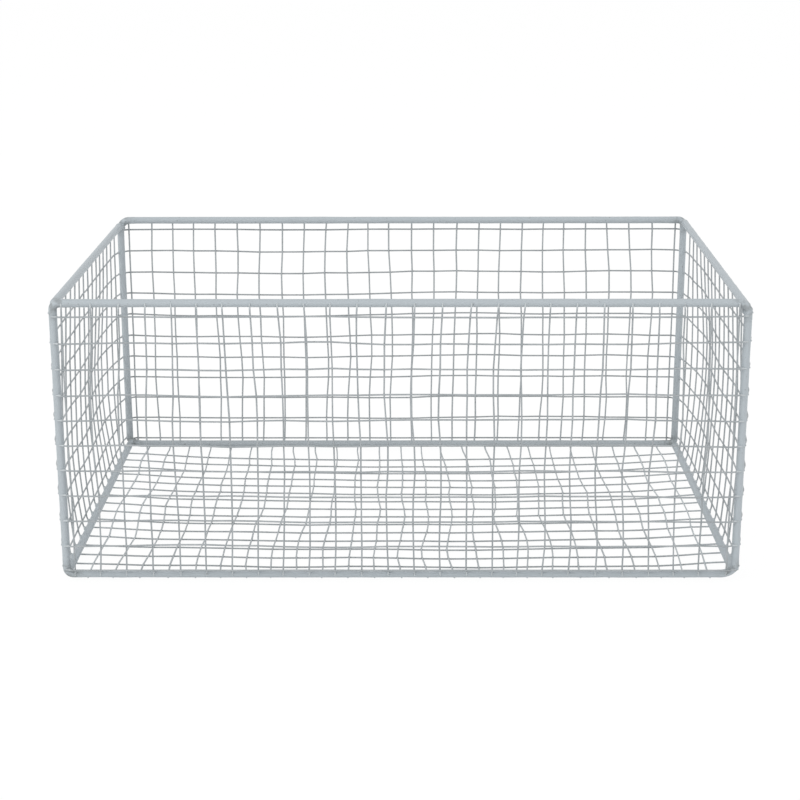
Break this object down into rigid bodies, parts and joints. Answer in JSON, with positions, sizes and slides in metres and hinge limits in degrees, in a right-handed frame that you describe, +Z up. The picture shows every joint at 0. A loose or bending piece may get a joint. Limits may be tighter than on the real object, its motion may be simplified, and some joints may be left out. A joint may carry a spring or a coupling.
{
  "type": "wire locker basket",
  "caption": "Open-topped rectangular storage basket of welded round rod, with square wire mesh on its sides and underside.",
  "frame": {"origin": "middle of the footprint, on the surface that the basket stands on", "axes": "+X to the right seen from the front and along the long side, +Y towards the back, +Z up"},
  "size_m": [0.5124, 0.3252, 0.2124],
  "materials": {
    "frame_coat": "satin pale blue-grey coat, thick enough to round the welds",
    "mesh_coat": "satin pale blue-grey coat with runs and webs at the crossings"
  },
  "bodies": {
    "root": {"front_hoop": "frame_coat", "front_right_post": "frame_coat", "back_hoop": "frame_coat", "back_left_post": "frame_coat", "left_top_rail": "frame_coat", "right_top_rail": "frame_coat", "left_bottom_rail": "frame_coat", "right_bottom_rail": "frame_coat", "rail_weld_beads": "frame_coat", "post_weld_beads": "frame_coat", "front_mesh_uprights": "mesh_coat", "front_mesh_cross_wires": "mesh_coat", "back_mesh_uprights": "mesh_coat", "back_mesh_cross_wires": "mesh_coat", "left_mesh_uprights": "mesh_coat", "left_mesh_cross_wires": "mesh_coat", "right_mesh_uprights": "mesh_coat", "right_mesh_cross_wires": "mesh_coat", "bottom_mesh_crosswise": "mesh_coat", "bottom_mesh_lengthwise": "mesh_coat"}
  },
  "joints": []
}
